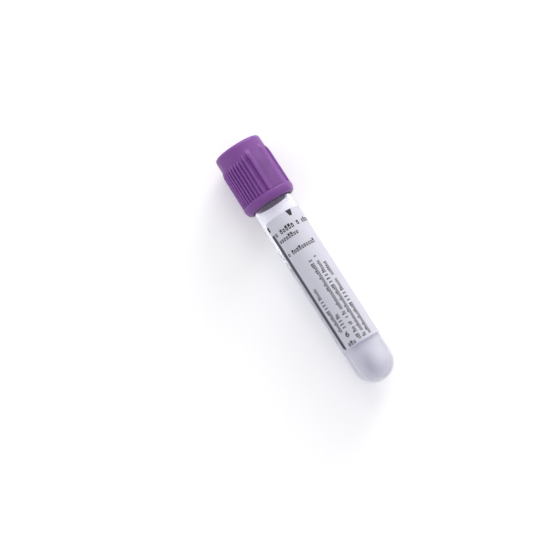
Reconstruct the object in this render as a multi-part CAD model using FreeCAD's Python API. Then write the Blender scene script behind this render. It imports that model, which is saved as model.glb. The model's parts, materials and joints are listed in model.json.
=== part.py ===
import FreeCAD, Part
import math
import os

from FreeCAD import Placement, Rotation, Vector

# A capped blood collection tube, lying on its side as it comes to rest on a bench. Millimetres.
# The pieces are drawn along Z, with the tube's open rim at z = 0 and the closure above it,
# and are then laid down together: tube axis along X, closure at +X, the floor at z = 0.

# Tube: a clear moulded vial with a round bottom.
TUBE_LENGTH = 75.0
TUBE_DIAMETER = 13.0
TUBE_WALL = 1.0
RIM_BEVEL = 0.2

# Label: a printed wrap that leaves a clear strip to see the blood through.
LABEL_HEIGHT = 46.3
LABEL_ABOVE_TIP = 13.2
LABEL_THICKNESS = 0.1
LABEL_ADHESIVE = 0.02
LABEL_WRAP_DEG = 290.0
LABEL_EDGE_DEG = -63.0
LABEL_CORNER = 2.0

# Stopper: soft rubber. Its head sits on the tube's rim and its plug seals the bore.
HEAD_RADIUS = 7.0
HEAD_BEVEL = 0.4
DISH_RADIUS = 3.45
DISH_FLOOR_RADIUS = 2.7
DISH_DEPTH = 3.0
SEPTUM_THICKNESS = 4.2
PLUG_LENGTH = 8.4
PLUG_CLEARANCE = 0.05
PLUG_LEAD_IN = 1.6
PLUG_LEAD_TAPER = 0.7
CAVITY_RADIUS = 2.8
CAVITY_BEVEL = 1.6
SEAL_GROOVES = 2
SEAL_GROOVE_PITCH = 2.2
SEAL_GROOVE_WIDTH = 0.9
SEAL_GROOVE_DEPTH = 0.3

# Shield: the moulded outer cap that carries the stopper and covers the tube's mouth.
SHIELD_HEIGHT = 20.8
SHIELD_ABOVE_RIM = 10.2
SHIELD_TOP_RADIUS = 7.8
SHIELD_BASE_RADIUS = 8.1
TOP_EDGE_BEVEL = 0.7
TOP_WALL = 1.8
WELL_RADIUS = 3.75
WELL_CHAMFER_WIDTH = 1.45
WELL_CHAMFER_DEPTH = 0.6
CHAMBER_CLEARANCE = 0.05
LEDGE_CLEARANCE = 0.05
SKIRT_CLEARANCE = 0.25
SKIRT_CHAMFER = 0.2
RING_RADIUS = 8.6
RING_HEIGHT = 3.0
RING_ROUNDING = 1.5

# Grip: two smooth panels opposite each other, each between two long ridges,
# and a group of fine ribs on each side between them.
PANEL_CENTRE_DEG = 33.0
PANELS = 2
RIDGE_FROM_PANEL_DEG = 21.5
RIBS_PER_GROUP = 13
RIB_PITCH_DEG = 8.3
CREST_BASE_RADIUS = 8.5
CREST_TOP_RADIUS = 8.4
RIB_WIDTH = 0.86
RIDGE_WIDTH = 1.3
CREST_WIDTH = 0.36
RIB_DROP = 4.5
END_RIB_DROP = 3.8
RIDGE_DROP = 3.1
RIB_RAMP = 1.9
RIB_ROOT = 0.25

# How section() marks a corner cut straight, and how near two points are one.
BEVEL = "bevel"
SAME_POINT = 1e-6

# Places that follow from the sizes, measured along the tube's axis from its rim.
SHIELD_TOP = SHIELD_ABOVE_RIM
SHIELD_BOTTOM = SHIELD_TOP - SHIELD_HEIGHT
RING_TOP = SHIELD_BOTTOM + RING_HEIGHT
HEAD_TOP = SHIELD_TOP - TOP_WALL
TUBE_TIP = -TUBE_LENGTH
TUBE_RADIUS = TUBE_DIAMETER / 2
TUBE_BORE = TUBE_RADIUS - TUBE_WALL
TIP_CENTRE = TUBE_TIP + TUBE_RADIUS


def shield_radius(z):
    """The shield's smooth body, which widens a little from its top to the ring."""
    share = (SHIELD_TOP - z) / (SHIELD_TOP - RING_TOP)
    return SHIELD_TOP_RADIUS + (SHIELD_BASE_RADIUS - SHIELD_TOP_RADIUS) * share


def crest_radius(z):
    share = (SHIELD_TOP - z) / (SHIELD_TOP - RING_TOP)
    return CREST_TOP_RADIUS + (CREST_BASE_RADIUS - CREST_TOP_RADIUS) * share


def section(corners):
    """A closed face in the XZ plane. A corner is (r, z), or (r, z, size) where it is rounded,
    or (r, z, size, BEVEL) where it is cut straight across."""
    points = [Vector(corner[0], 0, corner[1]) for corner in corners]
    edges = []
    before = None
    for i, corner in enumerate(corners):
        here = points[i]
        back = (points[i - 1] - here).normalize()
        ahead = (points[(i + 1) % len(points)] - here).normalize()
        half = back.getAngle(ahead) / 2
        bevelled = corner[3:] == (BEVEL,)
        size = corner[2] if len(corner) > 2 else 0
        reach = size if bevelled else size / math.tan(half)
        start = here + back * reach
        end = here + ahead * reach
        if before is None:
            first = start
        elif start.distanceToPoint(before) > SAME_POINT:
            edges.append(Part.LineSegment(before, start).toShape())
        if bevelled:
            edges.append(Part.LineSegment(start, end).toShape())
        elif size > 0:
            inward = (back + ahead).normalize()
            middle = here + inward * (size / math.sin(half) - size)
            edges.append(Part.Arc(start, middle, end).toShape())
        before = end
    edges.append(Part.LineSegment(before, first).toShape())
    return Part.Face(Part.Wire(edges))


def turned(corners, degrees=360.0):
    return section(corners).revolve(Vector(0, 0, 0), Vector(0, 0, 1), degrees)


def turned_to(shape, degrees):
    """A copy turned about the tube's axis."""
    copy = shape.copy()
    copy.rotate(Vector(0, 0, 0), Vector(0, 0, 1), degrees)
    return copy


def make_tube():
    return turned([
        (0, TUBE_TIP),
        (TUBE_RADIUS, TUBE_TIP, TUBE_RADIUS),
        (TUBE_RADIUS, 0, RIM_BEVEL, BEVEL),
        (TUBE_BORE, 0, RIM_BEVEL, BEVEL),
        (TUBE_BORE, TUBE_TIP + TUBE_WALL, TUBE_BORE),
        (0, TUBE_TIP + TUBE_WALL),
    ])


def make_label():
    """A thin wrap on the tube, with its four corners rounded."""
    bottom = TUBE_TIP + LABEL_ABOVE_TIP
    top = bottom + LABEL_HEIGHT
    inside = TUBE_RADIUS + LABEL_ADHESIVE
    outside = inside + LABEL_THICKNESS
    corners = [(inside, bottom), (outside, bottom), (outside, top), (inside, top)]
    wrap = turned(corners, LABEL_WRAP_DEG)
    # What is trimmed from one corner: a square less the quarter circle that stays.
    square = Part.makeBox(inside, 2 * LABEL_CORNER, 2 * LABEL_CORNER)
    trim = square.cut(Part.makeCylinder(LABEL_CORNER, inside, Vector(0, 0, 0), Vector(1, 0, 0)))
    inset = math.degrees(math.asin(LABEL_CORNER / inside))
    places = [
        (LABEL_WRAP_DEG - inset, top - LABEL_CORNER),
        (inset, top - LABEL_CORNER),
        (inset, bottom + LABEL_CORNER),
        (LABEL_WRAP_DEG - inset, bottom + LABEL_CORNER),
    ]
    for quarter, (angle, z) in enumerate(places):
        tool = trim.copy()
        tool.rotate(Vector(0, 0, 0), Vector(1, 0, 0), 90 * quarter)
        tool.translate(Vector(inside / 2, 0, z))
        wrap = wrap.cut(turned_to(tool, angle))
    return turned_to(wrap, LABEL_EDGE_DEG)


def make_stopper():
    plug = TUBE_BORE - PLUG_CLEARANCE
    plug_end = -PLUG_LENGTH
    lead_top = plug_end + PLUG_LEAD_IN
    cavity_top = HEAD_TOP - DISH_DEPTH - SEPTUM_THICKNESS
    outline = [
        (0, cavity_top),
        (CAVITY_RADIUS, cavity_top, CAVITY_BEVEL, BEVEL),
        (CAVITY_RADIUS, plug_end),
        (plug - PLUG_LEAD_TAPER, plug_end),
        (plug, lead_top),
    ]
    for i in range(1, SEAL_GROOVES + 1):
        middle = lead_top + i * SEAL_GROOVE_PITCH
        outline.append((plug, middle - SEAL_GROOVE_WIDTH / 2))
        outline.append((plug - SEAL_GROOVE_DEPTH, middle))
        outline.append((plug, middle + SEAL_GROOVE_WIDTH / 2))
    outline += [
        (plug, 0),
        (HEAD_RADIUS, 0),
        (HEAD_RADIUS, HEAD_TOP, HEAD_BEVEL, BEVEL),
        (DISH_RADIUS, HEAD_TOP),
        (DISH_FLOOR_RADIUS, HEAD_TOP - DISH_DEPTH),
        (0, HEAD_TOP - DISH_DEPTH),
    ]
    return turned(outline)


def make_rib(width, drop):
    """One rib at angle 0. It rises out of the body by a ramp and runs down into the ring."""
    foot = RING_TOP - RIB_ROOT
    start = SHIELD_TOP - drop
    full = start - RIB_RAMP
    root = shield_radius(start) - RIB_ROOT
    crest = crest_radius(foot)
    corners = [
        Vector(root, -width / 2, foot),
        Vector(shield_radius(foot), -width / 2, foot),
        Vector(crest, -CREST_WIDTH / 2, foot),
        Vector(crest, CREST_WIDTH / 2, foot),
        Vector(shield_radius(foot), width / 2, foot),
        Vector(root, width / 2, foot),
    ]
    across = Part.Face(Part.makePolygon(corners + corners[:1]))
    lean = crest_radius(start) - crest
    bar = across.extrude(Vector(lean, 0, start - foot))
    along = section([
        (root - RIB_ROOT, foot),
        (crest, foot),
        (crest_radius(full), full),
        (shield_radius(start), start),
        (root - RIB_ROOT, start),
    ])
    along.translate(Vector(0, -width, 0))
    return bar.common(along.extrude(Vector(0, 2 * width, 0)))


def make_shield():
    chamber = HEAD_RADIUS + CHAMBER_CLEARANCE
    skirt = TUBE_RADIUS + SKIRT_CLEARANCE
    body = turned([
        (WELL_RADIUS, HEAD_TOP),
        (WELL_RADIUS, SHIELD_TOP - WELL_CHAMFER_DEPTH),
        (WELL_RADIUS + WELL_CHAMFER_WIDTH, SHIELD_TOP),
        (SHIELD_TOP_RADIUS, SHIELD_TOP, TOP_EDGE_BEVEL, BEVEL),
        (SHIELD_BASE_RADIUS, RING_TOP),
        (RING_RADIUS, RING_TOP),
        (RING_RADIUS, SHIELD_BOTTOM, RING_ROUNDING),
        (skirt + SKIRT_CHAMFER, SHIELD_BOTTOM),
        (skirt, SHIELD_BOTTOM + SKIRT_CHAMFER),
        (skirt, -LEDGE_CLEARANCE),
        (chamber, -LEDGE_CLEARANCE),
        (chamber, HEAD_TOP),
    ])
    fine_rib = make_rib(RIB_WIDTH, RIB_DROP)
    end_rib = make_rib(RIB_WIDTH, END_RIB_DROP)
    ridge = make_rib(RIDGE_WIDTH, RIDGE_DROP)
    last = RIBS_PER_GROUP - 1
    grip = []
    for k in range(PANELS):
        panel = PANEL_CENTRE_DEG + k * 360 / PANELS
        grip.append(turned_to(ridge, panel - RIDGE_FROM_PANEL_DEG))
        grip.append(turned_to(ridge, panel + RIDGE_FROM_PANEL_DEG))
        for i in range(RIBS_PER_GROUP):
            angle = panel + 180 / PANELS + (i - last / 2) * RIB_PITCH_DEG
            grip.append(turned_to(end_rib if i in (0, last) else fine_rib, angle))
    return body.fuse(grip).removeSplitter()


def lying_angle():
    """How far the axis rises towards the closure when the ring's rounded edge
    and the round bottom both touch the floor."""
    apart = SHIELD_BOTTOM + RING_ROUNDING - TIP_CENTRE
    ring_centre = RING_RADIUS - RING_ROUNDING
    step = RING_ROUNDING - TUBE_RADIUS
    return math.atan2(ring_centre, apart) + math.asin(step / math.hypot(apart, ring_centre))


pieces = {
    "tube": make_tube(),
    "label": make_label(),
    "stopper": make_stopper(),
    "shield": make_shield(),
}

# Angle 0 of the grip and the label turns to face up, and then the closure end goes to +X.
face_up = Rotation(Vector(0, 0, 1), 180)
lay_down = Rotation(Vector(0, 1, 0), 90 - math.degrees(lying_angle()))
for piece in pieces.values():
    piece.Placement = Placement(Vector(0, 0, 0), lay_down.multiply(face_up)).multiply(piece.Placement)

# The origin is on the floor, under the middle of the whole tube.
box = Part.makeCompound(list(pieces.values())).optimalBoundingBox(False, False)
to_origin = Vector(-box.Center.x, -box.Center.y, -box.ZMin)

os.makedirs("parts", exist_ok=True)
for name, piece in pieces.items():
    piece.translate(to_origin)
    piece.exportStep(f"parts/{name}.step")
    print(name, piece.isValid(), len(piece.Solids), round(piece.Volume, 3), len(piece.Faces))
print("axis rises", round(math.degrees(lying_angle()), 5), "degrees; moved by", to_origin)
print("size", round(box.XLength, 3), round(box.YLength, 3), round(box.ZLength, 3))
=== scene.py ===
import json
import math

import bmesh
import bpy
import numpy as np
from mathutils import Matrix, Vector


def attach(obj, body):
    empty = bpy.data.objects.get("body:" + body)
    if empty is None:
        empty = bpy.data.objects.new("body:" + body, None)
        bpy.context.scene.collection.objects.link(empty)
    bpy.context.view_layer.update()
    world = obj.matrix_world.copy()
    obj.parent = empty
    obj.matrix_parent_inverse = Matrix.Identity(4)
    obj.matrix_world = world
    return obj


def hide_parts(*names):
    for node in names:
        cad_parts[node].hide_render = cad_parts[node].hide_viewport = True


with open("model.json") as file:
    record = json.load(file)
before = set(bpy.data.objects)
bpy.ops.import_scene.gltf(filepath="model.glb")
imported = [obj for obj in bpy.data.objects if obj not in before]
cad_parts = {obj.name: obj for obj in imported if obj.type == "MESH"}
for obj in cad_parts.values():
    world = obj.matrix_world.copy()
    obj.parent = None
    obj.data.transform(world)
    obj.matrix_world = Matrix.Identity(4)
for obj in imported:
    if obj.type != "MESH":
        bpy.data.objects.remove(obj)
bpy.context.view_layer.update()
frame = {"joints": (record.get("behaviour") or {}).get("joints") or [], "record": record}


# ---- Tube ----
# A vial of clear PET, injection moulded in one piece with a round bottom and a polished wall.
# An additive sprayed inside dries on the lower wall as a faint frost, which scatters what
# is seen through it.

MM = 0.001
WELL_ABOVE_RIM = 9.0

# The pieces are drawn in mm along the tube, with its rim at height 0, the closure above it and
# angle 0 facing up. The frame says how the tube lies.
axis = Vector(frame["joints"][0]["axis"]).normalized()
well = next(m for m in frame["record"]["mounts"] if m["name"] == "needle_well")
rim_centre = Vector(well["pos_m"]) - axis * WELL_ABOVE_RIM * MM
side = axis.cross(Vector((0, 0, 1))).normalized()
up = side.cross(axis)
lying = Matrix.Translation(rim_centre) @ Matrix((up, side, axis)).transposed().to_4x4()
lying = lying @ Matrix.Scale(MM, 4)

TUBE_LENGTH = 75.0
TUBE_RADIUS = 6.5
TUBE_BORE = 5.5
RIM_ROUNDING = 0.25
TUBE_COLUMNS = 144
TUBE_ROW = 1.0

# A piece is drawn from its section. A rounding has a point about every ARC_STEP, a long side
# has one HOLD from each end, and an edge that turns by more than SHARP_DEG is shaded crisp.
ARC_STEP = 0.3
FEWEST_ARC_STEPS = 5
HOLD = 0.06
SHARP_DEG = 34.0


def arc(before, corner, after, radius):
    """Points of a rounding at a corner, from the side before it to the side after it."""
    here = Vector(corner)
    back = (Vector(before) - here).normalized()
    ahead = (Vector(after) - here).normalized()
    half = back.angle(ahead) / 2
    centre = here + (back + ahead).normalized() * radius / math.sin(half)
    start = here + back * radius / math.tan(half) - centre
    end = here + ahead * radius / math.tan(half) - centre
    sweep = math.copysign(math.pi - 2 * half, start.x * end.y - start.y * end.x)
    steps = max(FEWEST_ARC_STEPS, round(abs(sweep) * radius / ARC_STEP))
    points = []
    for i in range(steps + 1):
        turn = sweep * i / steps
        x = start.x * math.cos(turn) - start.y * math.sin(turn)
        y = start.x * math.sin(turn) + start.y * math.cos(turn)
        points.append((centre.x + x, centre.y + y))
    return points


def outline(corners, closed=False, row=None):
    """A section as points (radius, height). A corner is (radius, height) or (radius, height,
    rounding). Long sides get a point close to each end, which keeps roundings crisp, and
    points no further than row apart."""
    runs = []
    count = len(corners)
    for i, corner in enumerate(corners):
        if len(corner) == 3:
            after = corners[(i + 1) % count]
            runs.append(arc(corners[i - 1][:2], corner[:2], after[:2], corner[2]))
        else:
            runs.append([corner[:2]])
    points = []
    for i, run in enumerate(runs):
        points += run
        if i == count - 1 and not closed:
            break
        start = Vector(run[-1])
        end = Vector(runs[(i + 1) % count][0])
        length = (end - start).length
        if length > 4 * HOLD:
            inner = length - 2 * HOLD
            pieces = max(1, math.ceil(inner / row)) if row else 1
            for k in range(pieces + 1):
                points.append(tuple(start.lerp(end, (HOLD + inner * k / pieces) / length)))
    return points


def finished(name, points, faces, sheet=None):
    """An object from points in mm along the tube, smooth but for its sharp edges. sheet gives
    each point of each face its place on the piece's map."""
    mesh = bpy.data.meshes.new(name)
    mesh.from_pydata([lying @ Vector(p) for p in points], [], faces)
    if sheet is not None:
        spots = mesh.uv_layers.new(name="sheet")
        spots.data.foreach_set("uv", np.array(sheet, np.float32).ravel())
    work = bmesh.new()
    work.from_mesh(mesh)
    bmesh.ops.recalc_face_normals(work, faces=work.faces)
    work.to_mesh(mesh)
    work.free()
    mesh.shade_smooth()
    mesh.set_sharp_from_angle(angle=math.radians(SHARP_DEG))
    piece = bpy.data.objects.new(name, mesh)
    bpy.context.scene.collection.objects.link(piece)
    return piece


def turned(name, section, columns, closed=False, swell=None):
    """A section turned about the tube's axis. swell(radius, height) gives the radius of each
    column at a point of the section. The map runs once round and from the foot to the top."""
    low = min(height for _, height in section)
    span = max(height for _, height in section) - low
    around = np.linspace(0, 2 * math.pi, columns, endpoint=False)
    points, rings = [], []
    for radius, height in section:
        if radius == 0:
            rings.append([len(points)] * columns)
            points.append((0, 0, height))
            continue
        radii = swell(radius, height) if swell else np.full(columns, radius)
        rings.append(list(range(len(points), len(points) + columns)))
        points += zip(radii * np.cos(around), radii * np.sin(around), [height] * columns)
    faces, sheet = [], []
    last = len(rings) if closed else len(rings) - 1
    for i in range(last):
        j = (i + 1) % len(rings)
        v0 = (section[i][1] - low) / span
        v1 = (section[j][1] - low) / span
        for k in range(columns):
            n = (k + 1) % columns
            face = [rings[i][k], rings[i][n], rings[j][n], rings[j][k]]
            spots = [(k, v0), (k + 1, v0), (k + 1, v1), (k, v1)]
            kept = [m for m in range(4) if face[m] != face[m - 1]]
            faces.append([face[m] for m in kept])
            sheet += [(spots[m][0] / columns, spots[m][1]) for m in kept]
    return finished(name, points, faces, sheet)


tube_section = outline([
    (0, -TUBE_LENGTH),
    (TUBE_RADIUS, -TUBE_LENGTH, TUBE_RADIUS),
    (TUBE_RADIUS, 0, RIM_ROUNDING),
    (TUBE_BORE, 0, RIM_ROUNDING),
    (TUBE_BORE, TUBE_RADIUS - TUBE_LENGTH - TUBE_BORE, TUBE_BORE),
    (0, TUBE_RADIUS - TUBE_LENGTH - TUBE_BORE),
], row=TUBE_ROW)
tube = turned("clear_tube", tube_section, TUBE_COLUMNS)


def linear(colour):
    """A colour written in hex for a screen, as the shader's linear red, green, blue, 1."""
    parts = [int(colour[i:i + 2], 16) / 255 for i in (1, 3, 5)]
    return tuple(c / 12.92 if c <= 0.04045 else ((c + 0.055) / 1.055) ** 2.4 for c in parts) + (1,)


def add(tree, kind, inputs=None, **settings):
    """A node with its settings. An input is a number, a colour or another node's output."""
    node = tree.nodes.new(kind)
    for setting, value in settings.items():
        setattr(node, setting, value)
    for socket, value in (inputs or {}).items():
        if isinstance(value, bpy.types.NodeSocket):
            tree.links.new(value, node.inputs[socket])
        else:
            node.inputs[socket].default_value = value
    return node


def material(name):
    """A new material's nodes, with only its output in them."""
    made = bpy.data.materials.new(name)
    made.use_nodes = True
    made.node_tree.nodes.clear()
    return made, made.node_tree, made.node_tree.nodes.new("ShaderNodeOutputMaterial")


def on_sheet(tree):
    """A place on a piece's map: X is how far round it and Y how far up it, from 0 to 1."""
    spot = add(tree, "ShaderNodeUVMap", uv_map="sheet").outputs[0]
    return add(tree, "ShaderNodeSeparateXYZ", {0: spot})


def see_through(tree, surface, shade, output):
    """Puts a surface on a piece that lets the lamps' light through, tinted."""
    path = add(tree, "ShaderNodeLightPath")
    clear = add(tree, "ShaderNodeBsdfTransparent", {"Color": shade})
    whole = add(tree, "ShaderNodeMixShader", {
        0: path.outputs["Is Shadow Ray"], 1: surface.outputs[0], 2: clear.outputs[0]})
    tree.links.new(whole.outputs[0], output.inputs["Surface"])


# Clear PET is a touch blue, glossy and bends light more than glass does. Lamps shine through
# it, so the label and the bench behind it stay lit. Handling has left soft smudges on it, each
# about as wide as a fingertip's touch.
PET_TINT = "#F3F3F9"
PET_SHADE = "#F6F6FA"
PET_IOR = 1.575
PET_ROUGHNESS = 0.035
PET_SMUDGED = 0.07
SMUDGE = 4.0
SMUDGE_LEVELS = (0.45, 0.7)

pet, nodes, output = material("clear_pet_polished")
place = add(nodes, "ShaderNodeTexCoord").outputs["Object"]
smudges = add(nodes, "ShaderNodeTexNoise", {
    "Vector": place, "Scale": 1 / (SMUDGE * MM), "Detail": 3.0})
handled = add(nodes, "ShaderNodeMapRange", {
    "Value": smudges.outputs[0], "From Min": SMUDGE_LEVELS[0], "From Max": SMUDGE_LEVELS[1],
    "To Min": PET_ROUGHNESS, "To Max": PET_SMUDGED})
surface = add(nodes, "ShaderNodeBsdfPrincipled", {
    "Base Color": linear(PET_TINT), "Roughness": handled.outputs[0],
    "IOR": PET_IOR, "Transmission Weight": 1.0})
see_through(nodes, surface, linear(PET_SHADE), output)

# The rim is a little matt, where the mould's halves met, and the wall carries light to it, so
# it shows as a pale ring.
RIM_PALE = "#DCDCE6"
RIM_CLEARNESS = 0.35
RIM_SMOOTHEST = 0.2
RIM_ROUGHEST = 0.4
RIM_DRAG = 0.4

rim, nodes, output = material("matt_pet_rim")
place = add(nodes, "ShaderNodeTexCoord").outputs["Object"]
drag = add(nodes, "ShaderNodeTexNoise", {
    "Vector": place, "Scale": 1 / (RIM_DRAG * MM), "Detail": 2.0})
scuffed = add(nodes, "ShaderNodeMapRange", {
    "Value": drag.outputs[0], "To Min": RIM_SMOOTHEST, "To Max": RIM_ROUGHEST})
surface = add(nodes, "ShaderNodeBsdfPrincipled", {
    "Base Color": linear(RIM_PALE), "Roughness": scuffed.outputs[0],
    "IOR": PET_IOR, "Transmission Weight": RIM_CLEARNESS})
see_through(nodes, surface, linear(PET_SHADE), output)

# The dried additive is a thin, speckled white film, which turns the clear wall milky up to a
# ragged edge. Its specks are drawn coarser than the real ones, which are too fine to show.
FROST_TOP = 46.0
FROST_FADE = 10.0
FROST_LEAST = 0.02
FROST_SPECK = 0.5
FROST_CLOUD = 4.0
SPECK_LEVELS = (0.3, 0.7)
SPECK_LEAST = 0.8
FROST_ROUGHNESS = 0.5
FROST_FACING = 0.3
FROST_GRAZING = 0.97
FROST_SHEERNESS = 0.4
FROST_COLOUR = "#F2F2F9"
FROST_SHADE = "#A0A0AC"

frosted, nodes, output = material("pet_wall_with_additive_and_painted_shade")
above_tip = add(nodes, "ShaderNodeMath", {
    0: on_sheet(nodes).outputs["Y"], 1: TUBE_LENGTH}, operation="MULTIPLY")
place = add(nodes, "ShaderNodeTexCoord").outputs["Object"]
specks = add(nodes, "ShaderNodeTexNoise", {
    "Vector": place, "Scale": 1 / (FROST_SPECK * MM), "Detail": 4.0, "Roughness": 0.6})
clouds = add(nodes, "ShaderNodeTexNoise", {
    "Vector": place, "Scale": 1 / (FROST_CLOUD * MM), "Detail": 2.0})
ragged = add(nodes, "ShaderNodeMath", {
    0: clouds.outputs[0], 1: FROST_FADE, 2: above_tip.outputs[0]}, operation="MULTIPLY_ADD")
film = add(nodes, "ShaderNodeMapRange", {
    "Value": ragged.outputs[0], "From Min": FROST_TOP + FROST_FADE, "From Max": FROST_TOP,
    "To Min": FROST_LEAST, "To Max": 1.0}, interpolation_type="SMOOTHSTEP")
grain = add(nodes, "ShaderNodeMapRange", {
    "Value": specks.outputs[0], "From Min": SPECK_LEVELS[0], "From Max": SPECK_LEVELS[1],
    "To Min": SPECK_LEAST, "To Max": 1.0})
frost = add(nodes, "ShaderNodeMath", {
    0: film.outputs[0], 1: grain.outputs[0]}, operation="MULTIPLY")
roughness = add(nodes, "ShaderNodeMapRange", {
    "Value": frost.outputs[0], "To Min": PET_ROUGHNESS, "To Max": FROST_ROUGHNESS})
# Seen along the wall, the film hides more than it does face on.
slant = add(nodes, "ShaderNodeLayerWeight", {"Blend": 0.5})
cover = add(nodes, "ShaderNodeMapRange", {
    "Value": slant.outputs["Facing"], "To Min": FROST_FACING, "To Max": FROST_GRAZING})
hidden = add(nodes, "ShaderNodeMath", {
    0: cover.outputs[0], 1: frost.outputs[0]}, operation="MULTIPLY")
clearness = add(nodes, "ShaderNodeMath", {0: 1.0, 1: hidden.outputs[0]}, operation="SUBTRACT")

# Near the bottom, along the side that faces down, the film's colour is darkened with painted
# shade, for the shadow under the tube seen through the wall. The painted shade fades with the
# distance from a line along the bore.
PAINTED_SHADE_TONE = "#545474"
PAINTED_SHADE_DEG = 191.0
PAINTED_SHADE_REACH = 5.2
PAINTED_SHADE_TOP = 15.0
PAINTED_SHADE_FULL = 7.0

shade_turn = math.radians(PAINTED_SHADE_DEG)
lowest = lying @ Vector((TUBE_BORE * math.cos(shade_turn), TUBE_BORE * math.sin(shade_turn), 0))
from_lowest = add(nodes, "ShaderNodeVectorMath", {0: place, 1: lowest}, operation="SUBTRACT")
off_line = add(nodes, "ShaderNodeVectorMath", {
    0: from_lowest.outputs[0], 1: axis}, operation="CROSS_PRODUCT")
off_lowest = add(nodes, "ShaderNodeVectorMath", {0: off_line.outputs[0]}, operation="LENGTH")
along_line = add(nodes, "ShaderNodeMapRange", {
    "Value": off_lowest.outputs["Value"], "From Min": PAINTED_SHADE_REACH * MM, "From Max": 0.0},
    interpolation_type="SMOOTHSTEP")
near_tip = add(nodes, "ShaderNodeMapRange", {
    "Value": above_tip.outputs[0], "From Min": PAINTED_SHADE_TOP, "From Max": PAINTED_SHADE_FULL},
    interpolation_type="SMOOTHSTEP")
painted_shade = add(nodes, "ShaderNodeMath", {
    0: along_line.outputs[0], 1: near_tip.outputs[0]}, operation="MULTIPLY")
film_with_painted_shade = add(nodes, "ShaderNodeMix", {
    0: painted_shade.outputs[0], 6: linear(FROST_COLOUR), 7: linear(PAINTED_SHADE_TONE)}, data_type="RGBA")
# The film's colour carries the painted shade into the wall and into its translucent glow.
film_and_shade_colour = add(nodes, "ShaderNodeMix", {
    0: film.outputs[0], 6: linear(PET_TINT), 7: film_with_painted_shade.outputs[2]}, data_type="RGBA")
film_shade = add(nodes, "ShaderNodeMix", {
    0: film.outputs[0], 6: linear(PET_SHADE), 7: linear(FROST_SHADE)}, data_type="RGBA")
surface = add(nodes, "ShaderNodeBsdfPrincipled", {
    "Base Color": film_and_shade_colour.outputs[2], "Roughness": roughness.outputs[0],
    "IOR": PET_IOR, "Transmission Weight": clearness.outputs[0]})
glow = add(nodes, "ShaderNodeBsdfTranslucent", {"Color": film_and_shade_colour.outputs[2]})
sheerness = add(nodes, "ShaderNodeMath", {
    0: hidden.outputs[0], 1: FROST_SHEERNESS}, operation="MULTIPLY")
wall = add(nodes, "ShaderNodeMixShader", {
    0: sheerness.outputs[0], 1: surface.outputs[0], 2: glow.outputs[0]})
see_through(nodes, wall, film_shade.outputs[2], output)

# The film lies on the bore and its bottom, the rim is matt, and all else is polished.
for finish in (pet, frosted, rim):
    tube.data.materials.append(finish)
POLISHED, FILMED, MATT = range(3)
inside = TUBE_BORE + RIM_ROUNDING
bottom_centre = Vector((0, 0, TUBE_RADIUS - TUBE_LENGTH))
to_tube = lying.inverted()
for face in tube.data.polygons:
    spot = to_tube @ face.center
    in_bore = math.hypot(spot.x, spot.y) < inside and spot.z > bottom_centre.z
    in_bottom = (spot - bottom_centre).length < inside
    face.material_index = FILMED if in_bore or in_bottom else POLISHED
    if spot.z > -RIM_ROUNDING:
        face.material_index = MATT

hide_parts("tube")
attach(tube, "vial")


# ---- Label ----
# A strip of coated white paper, printed in dark grey and wrapped round the tube with its own
# adhesive. Its corners are rounded, and its two ends leave a clear strip to see the blood by.

LABEL_FOOT = -61.8
LABEL_HEIGHT = 46.3
LABEL_GLUE = 0.02
LABEL_PAPER = 0.1
LABEL_INSIDE = TUBE_RADIUS + LABEL_GLUE
LABEL_OUTSIDE = LABEL_INSIDE + LABEL_PAPER
LABEL_LEFT_DEG = -63.0
LABEL_WRAP_DEG = 290.0
LABEL_CORNER = 2.0
LABEL_ROWS = 40
LABEL_COLUMNS = 150
CORNER_STEPS = 10

label_width = math.radians(LABEL_WRAP_DEG) * LABEL_OUTSIDE
corner_places = [LABEL_CORNER * (1 - math.cos(math.pi / 2 * i / CORNER_STEPS))
                 for i in range(CORNER_STEPS)]
middle_places = np.linspace(LABEL_CORNER, label_width - LABEL_CORNER, LABEL_COLUMNS)
places = corner_places + list(middle_places) + [label_width - x for x in reversed(corner_places)]


def strip_inset(x):
    """How far the label's ends are cut back at x, by its rounded corners."""
    near = LABEL_CORNER - min(x, label_width - x, LABEL_CORNER)
    return LABEL_CORNER - math.sqrt(LABEL_CORNER ** 2 - near ** 2)


def strip_point(x, z, radius):
    angle = math.radians(LABEL_LEFT_DEG) + x / LABEL_OUTSIDE
    return (radius * math.cos(angle), radius * math.sin(angle), LABEL_FOOT + z)


# The label is a grid of points on its outside and one on its inside, joined round its edge.
points, spots = [], []
for radius in (LABEL_OUTSIDE, LABEL_INSIDE):
    for x in places:
        inset = strip_inset(x)
        for i in range(LABEL_ROWS + 1):
            z = inset + (LABEL_HEIGHT - 2 * inset) * i / LABEL_ROWS
            points.append(strip_point(x, z, radius))
            spots.append((x / label_width, z / LABEL_HEIGHT))
rows = LABEL_ROWS + 1
under = len(places) * rows
faces = []
for i in range(len(places) - 1):
    for k in range(LABEL_ROWS):
        a = i * rows + k
        faces.append([a, a + rows, a + rows + 1, a + 1])
        faces.append([under + a, under + a + 1, under + a + rows + 1, under + a + rows])
edge = [i * rows for i in range(len(places))]
edge += [(len(places) - 1) * rows + k for k in range(1, rows)]
edge += [i * rows + LABEL_ROWS for i in reversed(range(len(places) - 1))]
edge += list(reversed(range(1, LABEL_ROWS)))
for a, b in zip(edge, edge[1:] + edge[:1]):
    faces.append([a, under + a, under + b, b])
label = finished("wrap_label", points, faces, [spots[v] for face in faces for v in face])

# Coated paper: nearly smooth, faintly uneven in tone, and matt enough to hide reflections. It
# is thin, so some light comes through it and keeps the tube's inside bright. The print is a
# plain rule, a fill mark, rows of small blocks in place of words, and a digit.
PAPER = "#F0F0F9"
PAPER_SHADE = "#E9E9F3"
INK = "#403A4A"
FIBRE = 0.35
PAPER_ROUGHNESS = 0.5
PAPER_TOOTH = 0.008
PAPER_SHEERNESS = 0.3
PAPER_THROUGH = "#CCCCD4"

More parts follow.
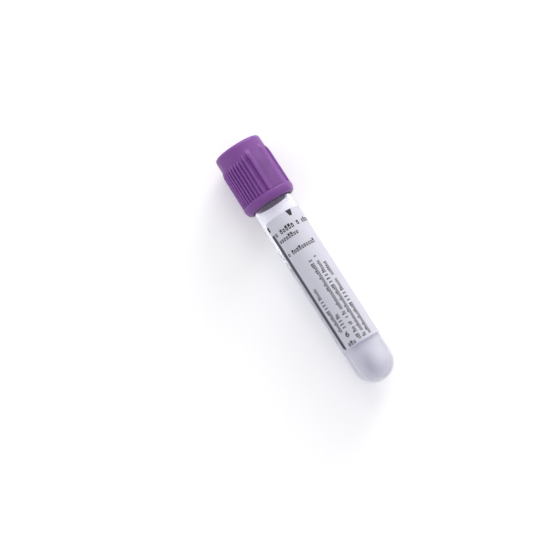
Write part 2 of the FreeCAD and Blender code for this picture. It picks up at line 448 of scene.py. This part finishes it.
paper, nodes, output = material("coated_label_paper")
spot = on_sheet(nodes)
x_mm = add(nodes, "ShaderNodeMath", {
    0: spot.outputs["X"], 1: label_width}, operation="MULTIPLY").outputs[0]
z_mm = add(nodes, "ShaderNodeMath", {
    0: spot.outputs["Y"], 1: LABEL_HEIGHT}, operation="MULTIPLY").outputs[0]


def where(*terms):
    """1 where every term holds, and 0 elsewhere. A term is a mask, or a value with the least
    and the most that it may be."""
    product = 1.0
    for term in terms:
        if isinstance(term, tuple):
            value, least, most = term
            term = add(nodes, "ShaderNodeMath", {
                0: value, 1: (least + most) / 2, 2: (most - least) / 2},
                operation="COMPARE").outputs[0]
        product = add(nodes, "ShaderNodeMath", {
            0: product, 1: term}, operation="MULTIPLY").outputs[0]
    return product


# Each block stands for a letter. It fills a share of its pitch and is as high as the row or
# shorter, has a hole as most letters do, and is left out now and then, as between words.
BLOCK_SHARE = 0.72
SHORT_SHARE = 0.66
TALL_LEVELS = (0.45, 0.75)
HOLE_ALONG = (0.3, 0.7)
HOLE_UP = (0.2, 0.46)
GAP_CHANCE = 0.12


def block_row(along, across, start, end, low, high, pitch, seed):
    """A row of small blocks in groups, as long and as high as a line of small print."""
    letters = round((end - start) / pitch)
    from_start = add(nodes, "ShaderNodeMath", {0: along, 1: start}, operation="SUBTRACT")
    count = add(nodes, "ShaderNodeMath", {
        0: from_start.outputs[0], 1: pitch}, operation="DIVIDE").outputs[0]
    number = add(nodes, "ShaderNodeMath", {0: count}, operation="FLOOR").outputs[0]
    part = add(nodes, "ShaderNodeMath", {0: count}, operation="FRACT").outputs[0]
    named = add(nodes, "ShaderNodeMath", {0: number, 1: seed}, operation="ADD").outputs[0]
    dice = add(nodes, "ShaderNodeTexWhiteNoise", {"W": named}, noise_dimensions="1D")
    chance = add(nodes, "ShaderNodeSeparateXYZ", {0: dice.outputs["Color"]})
    printed = add(nodes, "ShaderNodeMath", {
        0: chance.outputs["X"], 1: GAP_CHANCE}, operation="GREATER_THAN").outputs[0]
    tall = add(nodes, "ShaderNodeMapRange", {
        "Value": chance.outputs["Y"], "From Min": TALL_LEVELS[0], "From Max": TALL_LEVELS[1],
        "To Min": low + (high - low) * SHORT_SHARE, "To Max": high}).outputs[0]
    below = add(nodes, "ShaderNodeMath", {0: across, 1: tall}, operation="LESS_THAN").outputs[0]
    hole = where((part, *(BLOCK_SHARE * share for share in HOLE_ALONG)),
                 (across, *(low + (high - low) * share for share in HOLE_UP)))
    solid = add(nodes, "ShaderNodeMath", {0: 1.0, 1: hole}, operation="SUBTRACT").outputs[0]
    return where((count, 0.0, letters), (across, low, high), (part, 0.0, BLOCK_SHARE),
                 below, printed, solid)


# All places in the print are in mm from the label's lower left corner. The rule by the left
# edge is inked a little lighter than the rest, and a short, narrower one stands over it.
RULE_LEFT = 0.08
RULE_RIGHT = 1.38
RULE_UP = (0.4, 42.0)
RULE_INK = 0.9
SHORT_RULE_RIGHT = 0.95
SHORT_RULE_UP = (43.4, 45.0)
prints = [
    where((x_mm, RULE_LEFT, RULE_RIGHT), (z_mm, *RULE_UP), RULE_INK),
    where((x_mm, RULE_LEFT, SHORT_RULE_RIGHT), (z_mm, *SHORT_RULE_UP)),
]

# The fill mark hangs from the top edge and narrows downwards.
MARK_MIDDLE = 9.73
MARK_FOOT = 44.3
MARK_FOOT_HALF = 0.43
MARK_TOP_HALF = 1.03
from_mark = add(nodes, "ShaderNodeMath", {0: x_mm, 1: MARK_MIDDLE}, operation="SUBTRACT")
off_mark = add(nodes, "ShaderNodeMath", {0: from_mark.outputs[0]}, operation="ABSOLUTE")
mark_half = add(nodes, "ShaderNodeMapRange", {
    "Value": z_mm, "From Min": MARK_FOOT, "From Max": LABEL_HEIGHT,
    "To Min": MARK_FOOT_HALF, "To Max": MARK_TOP_HALF})
in_mark = add(nodes, "ShaderNodeMath", {
    0: off_mark.outputs[0], 1: mark_half.outputs[0]}, operation="LESS_THAN").outputs[0]
prints.append(where(in_mark, (z_mm, MARK_FOOT, LABEL_HEIGHT)))

# Rows across the tube: a bold heading that runs on round the side, and shorter rows below it.
# Each is its start, its end, its foot, its top, its letters' pitch and its seed.
ROWS_ACROSS = (
    (1.8, 18.0, 40.8, 42.5, 1.02, 11),
    (1.8, 9.1, 38.4, 39.9, 0.9, 23),
    (1.9, 11.9, 33.6, 35.1, 0.86, 37),
    (2.9, 5.8, 0.4, 1.8, 0.95, 41),
)
for start, end, low, high, pitch, seed in ROWS_ACROSS:
    prints.append(block_row(x_mm, z_mm, start, end, low, high, pitch, seed))

# Rows along the tube, of smaller print, whose tops face the left edge. Each is its start, its
# end, its left side, its right side, its letters' pitch and its seed.
ROWS_ALONG = (
    (0.9, 30.3, 6.4, 7.6, 0.62, 53),
    (0.9, 30.0, 8.25, 9.45, 0.62, 67),
    (0.9, 27.4, 10.1, 11.4, 0.62, 79),
    (5.5, 22.0, 2.4, 3.6, 0.56, 83),
    (5.5, 11.2, 4.15, 5.35, 0.56, 97),
)
from_right = add(nodes, "ShaderNodeMath", {
    0: label_width, 1: x_mm}, operation="SUBTRACT").outputs[0]
for start, end, left, right, pitch, seed in ROWS_ALONG:
    low, high = label_width - right, label_width - left
    prints.append(block_row(z_mm, from_right, start, end, low, high, pitch, seed))

# The digit 6: its bowl is a ring, and its stem the upper left part of a wider ring. A ring is
# its centre's place, its inner radius and its outer one.
BOWL = (4.35, 3.73, 0.23, 0.59)
STEM = (4.98, 3.75, 0.88, 1.22)
STEM_ACROSS = (3.4, 4.8)
STEM_UP = (3.75, 5.1)
flat_place = add(nodes, "ShaderNodeCombineXYZ", {"X": x_mm, "Y": z_mm}).outputs[0]
rings = []
for x, z, inner, outer in (BOWL, STEM):
    reach = add(nodes, "ShaderNodeVectorMath", {
        0: flat_place, 1: (x, z, 0)}, operation="DISTANCE").outputs["Value"]
    rings.append((reach, inner, outer))
bowl, wide_ring = rings
prints.append(where(bowl))
prints.append(where(wide_ring, (x_mm, *STEM_ACROSS), (z_mm, *STEM_UP)))

inked = prints[0]
for mask in prints[1:]:
    inked = add(nodes, "ShaderNodeMath", {0: inked, 1: mask}, operation="MAXIMUM").outputs[0]
place = add(nodes, "ShaderNodeTexCoord").outputs["Object"]
fibres = add(nodes, "ShaderNodeTexNoise", {
    "Vector": place, "Scale": 1 / (FIBRE * MM), "Detail": 3.0})
tone = add(nodes, "ShaderNodeMix", {
    0: fibres.outputs[0], 6: linear(PAPER), 7: linear(PAPER_SHADE)}, data_type="RGBA")
inked_tone = add(nodes, "ShaderNodeMix", {
    0: inked, 6: tone.outputs[2], 7: linear(INK)}, data_type="RGBA")
tooth = add(nodes, "ShaderNodeBump", {
    "Height": fibres.outputs[0], "Strength": 0.4, "Distance": PAPER_TOOTH * MM})
surface = add(nodes, "ShaderNodeBsdfPrincipled", {
    "Base Color": inked_tone.outputs[2], "Roughness": PAPER_ROUGHNESS,
    "Normal": tooth.outputs[0]})
through = add(nodes, "ShaderNodeBsdfTranslucent", {"Color": inked_tone.outputs[2]})
sheer = add(nodes, "ShaderNodeMixShader", {
    0: PAPER_SHEERNESS, 1: surface.outputs[0], 2: through.outputs[0]})
see_through(nodes, sheer, linear(PAPER_THROUGH), output)
label.data.materials.append(paper)

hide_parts("label")
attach(label, "vial")


# ---- Stopper ----
# A plug of butyl rubber, compression moulded in one piece. Its head sits on the tube's rim, two
# grooves round the plug help it seal the bore, and a needle goes in through the dish on top.

STOPPER_COLUMNS = 128
PLUG_RADIUS = 5.45
PLUG_FOOT = -8.4
SEAL_GROOVES = (-4.6, -2.4)
GROOVE_HALF = 0.45
GROOVE_DEPTH = 0.3
GROOVE_ROUNDING = 0.12
NOSE_RADIUS = 4.75
NOSE_TOP = -6.8
CAVITY_RADIUS = 2.8
CAVITY_ROUNDING = 1.6
SEPTUM_FOOT = 1.2
SEPTUM_TOP = 5.4
DISH_FLOOR_RADIUS = 2.7
DISH_RADIUS = 3.45
DISH_ROUNDING = 0.25
HEAD_RADIUS = 7.0
HEAD_TOP = 8.4
HEAD_ROUNDING = 0.4
EDGE_ROUNDING = 0.3
BEND_ROUNDING = 0.5

grooves = []
for middle in SEAL_GROOVES:
    grooves += [
        (PLUG_RADIUS, middle - GROOVE_HALF, GROOVE_ROUNDING),
        (PLUG_RADIUS - GROOVE_DEPTH, middle - GROOVE_HALF / 2, GROOVE_ROUNDING),
        (PLUG_RADIUS - GROOVE_DEPTH, middle + GROOVE_HALF / 2, GROOVE_ROUNDING),
        (PLUG_RADIUS, middle + GROOVE_HALF, GROOVE_ROUNDING),
    ]
stopper_section = outline([
    (0, SEPTUM_FOOT),
    (CAVITY_RADIUS, SEPTUM_FOOT, CAVITY_ROUNDING),
    (CAVITY_RADIUS, PLUG_FOOT, EDGE_ROUNDING),
    (NOSE_RADIUS, PLUG_FOOT, EDGE_ROUNDING),
    (PLUG_RADIUS, NOSE_TOP, BEND_ROUNDING),
    *grooves,
    (PLUG_RADIUS, 0),
    (HEAD_RADIUS, 0, EDGE_ROUNDING),
    (HEAD_RADIUS, HEAD_TOP, HEAD_ROUNDING),
    (DISH_RADIUS, HEAD_TOP, DISH_ROUNDING),
    (DISH_FLOOR_RADIUS, SEPTUM_TOP, BEND_ROUNDING),
    (0, SEPTUM_TOP),
])
stopper = turned("rubber_stopper", stopper_section, STOPPER_COLUMNS)

# Butyl rubber, tinted to match its shield, is matt and a little mottled, with the faint
# pimples of its mould.
RUBBER = "#8450AC"
RUBBER_DARK = "#74449A"
RUBBER_GRAIN = 0.25
RUBBER_MOTTLE = 2.2
RUBBER_ROUGHNESS = 0.7
RUBBER_GLOSS = 0.35
RUBBER_RELIEF = 0.012

rubber, nodes, output = material("moulded_butyl_rubber")
place = add(nodes, "ShaderNodeTexCoord").outputs["Object"]
mottle = add(nodes, "ShaderNodeTexNoise", {
    "Vector": place, "Scale": 1 / (RUBBER_MOTTLE * MM), "Detail": 3.0})
tone = add(nodes, "ShaderNodeMix", {
    0: mottle.outputs[0], 6: linear(RUBBER), 7: linear(RUBBER_DARK)},
    data_type="RGBA")
pimples = add(nodes, "ShaderNodeTexNoise", {
    "Vector": place, "Scale": 1 / (RUBBER_GRAIN * MM), "Detail": 2.0})
skin_relief = add(nodes, "ShaderNodeBump", {
    "Height": pimples.outputs[0], "Strength": 0.6, "Distance": RUBBER_RELIEF * MM})
surface = add(nodes, "ShaderNodeBsdfPrincipled", {
    "Base Color": tone.outputs[2], "Roughness": RUBBER_ROUGHNESS,
    "Specular IOR Level": RUBBER_GLOSS, "Normal": skin_relief.outputs[0]})
nodes.links.new(surface.outputs[0], output.inputs["Surface"])
stopper.data.materials.append(rubber)

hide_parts("stopper")
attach(stopper, "closure")


# ---- Shield ----
# The cap over the stopper, injection moulded of lavender polyethylene in one piece. It carries
# fine ribs and long ridges for the fingers, two smooth panels, and a plain ring at its mouth.

SHIELD_TOP = 10.2
TOP_RADIUS = 7.8
TOP_ROUNDING = 1.0
FOOT_RADIUS = 8.1
WELL_RADIUS = 3.75
WELL_ROUNDING = 0.3
WELL_BEVEL_RADIUS = 5.2
WELL_BEVEL_FOOT = 9.6
WELL_BEVEL_ROUNDING = 0.5
RING_TOP = -7.6
RING_FOOT = -10.6
RING_RADIUS = 8.6
RING_ROUNDING = 0.45
RING_BELLY = -8.9
RING_BELLY_ROUNDING = 2.5
HEEL_RADIUS = 8.1
HEEL_HEIGHT = -10.25
HEEL_ROUNDING = 1.0
RING_FOOT_RADIUS = 7.4
RING_FOOT_ROUNDING = 0.8
MOUTH_BORE = 6.75
MOUTH_BEVEL = 0.2
MOUTH_ROUNDING = 0.1
HEAD_BORE = 7.05
LEDGE = -0.05

# The wall between the ring and the top is drawn in rows, close together where ribs ramp up.
SHIELD_COLUMNS = 648
FIRST_ROW = 0.4
PLAIN_ROW = 1.6
RAMP_ROW = 0.25
LOWEST_RAMP = 3.4
HIGHEST_RAMP = 7.3


def wall_radius(height, top_radius, foot_radius):
    """The radius at a height of a wall that tapers from the ring's top to the shield's top."""
    return foot_radius + (top_radius - foot_radius) * (height - RING_TOP) / (SHIELD_TOP - RING_TOP)


# Ribs and ridges ramp up from the plain top band to a common crest. The two ridges beside each
# panel start higher, draw in below their heads, and slope gently down to the panel.
CREST_TOP_RADIUS = 8.34
CREST_FOOT_RADIUS = 8.5
CREST_SHARE = 0.5
RAMP = 1.9
PANEL_DEG = (27.2, 207.2)
RIDGE_OFF_DEG = 20.8
RIDGE_WIDTH = 1.3
RIDGE_SLOPE = 1.0
RIDGE_START = 7.1
RIDGE_NARROW = 0.3
NARROW_FROM = 5.4
NARROW_TO = 3.6
RIB_GROUP_DEG = (123.0, 303.0)
RIBS = 13
RIB_PITCH_DEG = 8.3
RIB_WIDTH = 0.86
RIB_START = 5.7
END_RIB_START = 6.4

# Each rib or ridge is its angle in degrees, its width at the wall, the height it starts at, and
# how far its far side draws in below its head, towards its panel or not at all.
grips = []
for middle in PANEL_DEG:
    for turn in (-RIDGE_OFF_DEG, RIDGE_OFF_DEG):
        grips.append((middle + turn, RIDGE_WIDTH, RIDGE_START, math.copysign(RIDGE_NARROW, -turn)))
for middle in RIB_GROUP_DEG:
    for i in range(RIBS):
        start = END_RIB_START if i in (0, RIBS - 1) else RIB_START
        grips.append((middle + (i - (RIBS - 1) / 2) * RIB_PITCH_DEG, RIB_WIDTH, start, 0))


# Between the grips the wall lies a little lower, and lowest in the channel outside each ridge.
# Between its two ridges a panel is crowned: its middle stands higher than its sides.
GROOVE_SINK = 0.15
CHANNEL_SINK = 0.28
CHANNEL_OFF_DEG = 25.8
CHANNEL_HALF_DEG = 4.2
PANEL_RISE = 0.3
PANEL_SIDE_SHARE = 0.6
PANEL_RAMP = 5.0
PANEL_EDGE_DEG = 2.0

# A point of the section is on the outer wall if it is this close to it. Where the ribs meet
# the ring, they stay this far inside its rounding.
ON_WALL = 0.01
TUCK = 0.02


def smooth(value):
    """0 up to 0 and 1 from 1 on, with an eased step between them."""
    value = np.clip(value, 0, 1)
    return value * value * (3 - 2 * value)


def turn_from(angles, middle):
    """Degrees from a middle to each angle, the short way round, with their sign."""
    return (angles - middle + 180) % 360 - 180


def wall_floor(radius, height, angles):
    """The radius all round of the wall that the ribs and ridges stand on."""
    from_panel = np.min([np.abs(turn_from(angles, middle)) for middle in PANEL_DEG], axis=0)
    sunk = smooth((from_panel - RIDGE_OFF_DEG) / PANEL_EDGE_DEG)
    sunk *= smooth((RIB_START - height) / RAMP)
    channel = smooth(1 - np.abs(from_panel - CHANNEL_OFF_DEG) / CHANNEL_HALF_DEG)
    channel *= smooth((NARROW_FROM - height) / RAMP)
    raised = smooth((RIDGE_OFF_DEG + PANEL_EDGE_DEG / 2 - from_panel) / PANEL_EDGE_DEG)
    raised *= smooth((RIB_START - height) / PANEL_RAMP)
    raised *= 1 - (1 - PANEL_SIDE_SHARE) * np.minimum(from_panel / RIDGE_OFF_DEG, 1) ** 2
    return radius + PANEL_RISE * raised - GROOVE_SINK * sunk - CHANNEL_SINK * channel


def grip_radii(radius, height):
    """The shield's radius all round at a point of its section: ribs stand on its outer wall."""
    wall = wall_radius(height, TOP_RADIUS, FOOT_RADIUS)
    if height < RING_TOP or abs(radius - wall) > ON_WALL:
        return np.full(SHIELD_COLUMNS, float(radius))
    angles = np.linspace(0, 360, SHIELD_COLUMNS, endpoint=False)
    rise = wall_radius(height, CREST_TOP_RADIUS, CREST_FOOT_RADIUS) - wall
    floor = wall_floor(radius, height, angles)
    radii = floor.copy()
    for middle, full_width, start, draw_in in grips:
        drawn = draw_in * smooth((NARROW_FROM - height) / (NARROW_FROM - NARROW_TO))
        width = full_width - abs(drawn)
        off_mm = np.radians(turn_from(angles, middle)) * wall - drawn / 2
        crest = width / 2 * CREST_SHARE
        flank = np.where(off_mm * draw_in > 0, RIDGE_SLOPE, width / 2 - crest)
        shape = smooth((crest + flank - np.abs(off_mm)) / flank)
        ramp = smooth((start - height) / RAMP)
        radii = np.maximum(radii, floor + (radius + rise - floor) * shape * ramp)
    if height == RING_TOP:
        radii = np.minimum(radii, RING_RADIUS - RING_ROUNDING - TUCK)
    return radii


wall_rows = [RING_TOP]
wall_rows += [float(height) for height in np.arange(RING_TOP + FIRST_ROW, LOWEST_RAMP, PLAIN_ROW)]
wall_rows += [float(height) for height in np.arange(LOWEST_RAMP, HIGHEST_RAMP, RAMP_ROW)]
outer_wall = [(wall_radius(height, TOP_RADIUS, FOOT_RADIUS), height) for height in wall_rows]
shield_section = outline([
    (WELL_RADIUS, HEAD_TOP),
    (WELL_RADIUS, WELL_BEVEL_FOOT, WELL_ROUNDING),
    (WELL_BEVEL_RADIUS, SHIELD_TOP, WELL_BEVEL_ROUNDING),
    (TOP_RADIUS, SHIELD_TOP, TOP_ROUNDING),
    *reversed(outer_wall),
    (RING_RADIUS, RING_TOP, RING_ROUNDING),
    (RING_RADIUS, RING_BELLY, RING_BELLY_ROUNDING),
    (HEEL_RADIUS, HEEL_HEIGHT, HEEL_ROUNDING),
    (RING_FOOT_RADIUS, RING_FOOT, RING_FOOT_ROUNDING),
    (MOUTH_BORE + MOUTH_BEVEL, RING_FOOT, MOUTH_ROUNDING),
    (MOUTH_BORE, RING_FOOT + MOUTH_BEVEL, MOUTH_ROUNDING),
    (MOUTH_BORE, LEDGE),
    (HEAD_BORE, LEDGE),
    (HEAD_BORE, HEAD_TOP),
], closed=True)
shield = turned("lavender_shield", shield_section, SHIELD_COLUMNS, closed=True, swell=grip_radii)

# Moulded polyethylene is waxy: satin, with a soft bloom, a little translucent, and paler where
# it is thin. Its skin has the fine spark-eroded grain of the mould.
LAVENDER = "#8B4FA5"
LAVENDER_DEEP = "#80459A"
MOTTLE = 3.0
GRAIN = 0.09
GRAIN_RELIEF = 0.006
SATIN = 0.5
WAXINESS = 0.4
LIGHT_SINKS_MM = (1.8, 0.8, 2.0)
BLOOM = 0.45
BLOOM_SPREAD = 0.3

polyethylene, nodes, output = material("lavender_polyethylene")
place = add(nodes, "ShaderNodeTexCoord").outputs["Object"]
mottle = add(nodes, "ShaderNodeTexNoise", {
    "Vector": place, "Scale": 1 / (MOTTLE * MM), "Detail": 2.0})
tone = add(nodes, "ShaderNodeMix", {
    0: mottle.outputs[0], 6: linear(LAVENDER), 7: linear(LAVENDER_DEEP)},
    data_type="RGBA")

# The panels are darkened with painted shade, from their ridges' feet inwards and from the ring
# up to the top band.
PANEL_PAINTED_SHADE = "#E6E6E9"
PANEL_SHADE_FROM_DEG = RIDGE_OFF_DEG - 4
PANEL_SHADE_FULL_DEG = RIDGE_OFF_DEG - 10

spot = on_sheet(nodes)
turn = add(nodes, "ShaderNodeMath", {
    0: spot.outputs["X"], 1: 360.0, 2: -PANEL_DEG[0]}, operation="MULTIPLY_ADD")
off_panel = add(nodes, "ShaderNodeMath", {0: turn.outputs[0], 1: 90.0}, operation="PINGPONG")
on_panel = add(nodes, "ShaderNodeMapRange", {
    "Value": off_panel.outputs[0], "From Min": PANEL_SHADE_FROM_DEG, "From Max": PANEL_SHADE_FULL_DEG},
    interpolation_type="SMOOTHSTEP")
height = add(nodes, "ShaderNodeMath", {
    0: spot.outputs["Y"], 1: SHIELD_TOP - RING_FOOT, 2: RING_FOOT}, operation="MULTIPLY_ADD")
below_band = add(nodes, "ShaderNodeMapRange", {
    "Value": height.outputs[0], "From Min": RIDGE_START, "From Max": RIDGE_START - PANEL_RAMP},
    interpolation_type="SMOOTHSTEP")
above_ring = add(nodes, "ShaderNodeMath", {
    0: height.outputs[0], 1: RING_TOP}, operation="GREATER_THAN")
panel_shade = where(on_panel.outputs[0], below_band.outputs[0], above_ring.outputs[0])
# The painted panel shade multiplies the lavender's tone.
tone_with_panel_shade = add(nodes, "ShaderNodeMix", {
    0: panel_shade, 6: tone.outputs[2], 7: linear(PANEL_PAINTED_SHADE)},
    data_type="RGBA", blend_type="MULTIPLY")
grain = add(nodes, "ShaderNodeTexNoise", {
    "Vector": place, "Scale": 1 / (GRAIN * MM), "Detail": 2.0})
grain_relief = add(nodes, "ShaderNodeBump", {
    "Height": grain.outputs[0], "Strength": 0.5, "Distance": GRAIN_RELIEF * MM})
surface = add(nodes, "ShaderNodeBsdfPrincipled", {
    "Base Color": tone_with_panel_shade.outputs[2], "Roughness": SATIN,
    "Subsurface Weight": WAXINESS, "Subsurface Radius": LIGHT_SINKS_MM, "Subsurface Scale": MM,
    "Sheen Weight": BLOOM, "Sheen Roughness": BLOOM_SPREAD,
    "Normal": grain_relief.outputs[0]})
nodes.links.new(surface.outputs[0], output.inputs["Surface"])
shield.data.materials.append(polyethylene)

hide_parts("shield")
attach(shield, "closure")


# ---- Bench, light and camera ----
# The tube lies on a plain white bench in an even white room, under three broad soft lamps, and
# is seen from nearly overhead.

BENCH_SIZE = 2.0
BENCH_WHITE = "#FAFAFC"
BENCH_GLOW = 0.28
BENCH_GLOW_THROUGH = 0.6

bench_mesh = bpy.data.meshes.new("bench")
half = BENCH_SIZE / 2
bench_mesh.from_pydata([(-half, -half, 0), (half, -half, 0), (half, half, 0), (-half, half, 0)],
                       [], [(0, 1, 2, 3)])
bench = bpy.data.objects.new("bench", bench_mesh)
bpy.context.scene.collection.objects.link(bench)


def looked_at(tree, path):
    """1 where a path of light shows the bench or the room: straight, mirrored or through."""
    shiny = add(tree, "ShaderNodeMath", {
        0: path.outputs["Is Camera Ray"], 1: path.outputs["Is Glossy Ray"]}, operation="MAXIMUM")
    return add(tree, "ShaderNodeMath", {
        0: shiny.outputs[0], 1: path.outputs["Is Transmission Ray"]}, operation="MAXIMUM")


# Matt white laminate, lifted to plain white where it is looked at, so that only shadows show.
white, nodes, output = material("white_bench_laminate")
bare = add(nodes, "ShaderNodeBsdfDiffuse", {"Color": linear(BENCH_WHITE)})
path = add(nodes, "ShaderNodeLightPath")
brightness = add(nodes, "ShaderNodeMapRange", {
    "Value": path.outputs["Is Transmission Ray"],
    "To Min": BENCH_GLOW, "To Max": BENCH_GLOW_THROUGH})
glow = add(nodes, "ShaderNodeEmission", {
    "Color": linear(BENCH_WHITE), "Strength": brightness.outputs[0]})
lit = add(nodes, "ShaderNodeAddShader", {0: bare.outputs[0], 1: glow.outputs[0]})
plain = looked_at(nodes, path)
mixed = add(nodes, "ShaderNodeMixShader", {
    0: plain.outputs[0], 1: bare.outputs[0], 2: lit.outputs[0]})
nodes.links.new(mixed.outputs[0], output.inputs["Surface"])
bench.data.materials.append(white)

# The room lights the tube evenly and less than the lamps do, but is white to look at.
ROOM_WHITE = "#FFFFFF"
ROOM_LIGHT = 0.55
world = bpy.data.worlds.new("white_room")
bpy.context.scene.world = world
world.use_nodes = True
nodes = world.node_tree
nodes.nodes.clear()
output = nodes.nodes.new("ShaderNodeOutputWorld")
plain = looked_at(nodes, add(nodes, "ShaderNodeLightPath"))
strength = add(nodes, "ShaderNodeMapRange", {
    "Value": plain.outputs[0], "To Min": ROOM_LIGHT, "To Max": 1.0})
room = add(nodes, "ShaderNodeBackground", {
    "Color": linear(ROOM_WHITE), "Strength": strength.outputs[0]})
nodes.links.new(room.outputs[0], output.inputs["Surface"])

# A lamp high over the closure's end throws the shadows, a low and slightly warm one lights the
# right side, and a faint one the left. Each has its size, its power, its colour and its
# direction from the tube.
LAMPS = (
    ("high_lamp", 0.8, 2.9, "#FFFFFF", (0.65, -0.35, 0.7)),
    ("right_lamp", 0.6, 6.6, "#FFFBF2", (0.65, -0.75, 0.33)),
    ("left_lamp", 0.7, 1.6, "#FFFFFF", (0.6, 0.8, 0.25)),
)
LAMP_REACH = 1.2
for name, size, power, colour, toward in LAMPS:
    lamp_data = bpy.data.lights.new(name, "AREA")
    lamp_data.shape = "DISK"
    lamp_data.size = size
    lamp_data.energy = power
    lamp_data.color = linear(colour)[:3]
    lamp = bpy.data.objects.new(name, lamp_data)
    lamp.location = Vector(toward).normalized() * LAMP_REACH
    lamp.rotation_mode = "QUATERNION"
    lamp.rotation_quaternion = lamp.location.to_track_quat("Z", "Y")
    bpy.context.scene.collection.objects.link(lamp)

VIEW_AZIMUTH = 237.8
VIEW_ELEVATION = 79.0
VIEW_REACH = 1.0
VIEW_ANGLE = 9.505
LOOK_AT = (4.775, 11.38, 6.5)
azimuth = math.radians(VIEW_AZIMUTH)
elevation = math.radians(VIEW_ELEVATION)
back = Vector((math.sin(azimuth) * math.cos(elevation),
               -math.cos(azimuth) * math.cos(elevation), math.sin(elevation)))
camera_data = bpy.data.cameras.new("camera")
camera_data.angle = math.radians(VIEW_ANGLE)
camera_data.clip_start = VIEW_REACH / 10
camera = bpy.data.objects.new("camera", camera_data)
camera.location = Vector(LOOK_AT) * MM + back * VIEW_REACH
camera.rotation_mode = "QUATERNION"
camera.rotation_quaternion = (-back).to_track_quat("-Z", "Y")
bpy.context.scene.collection.objects.link(camera)
bpy.context.scene.camera = camera
bpy.context.scene.view_settings.view_transform = "Standard"
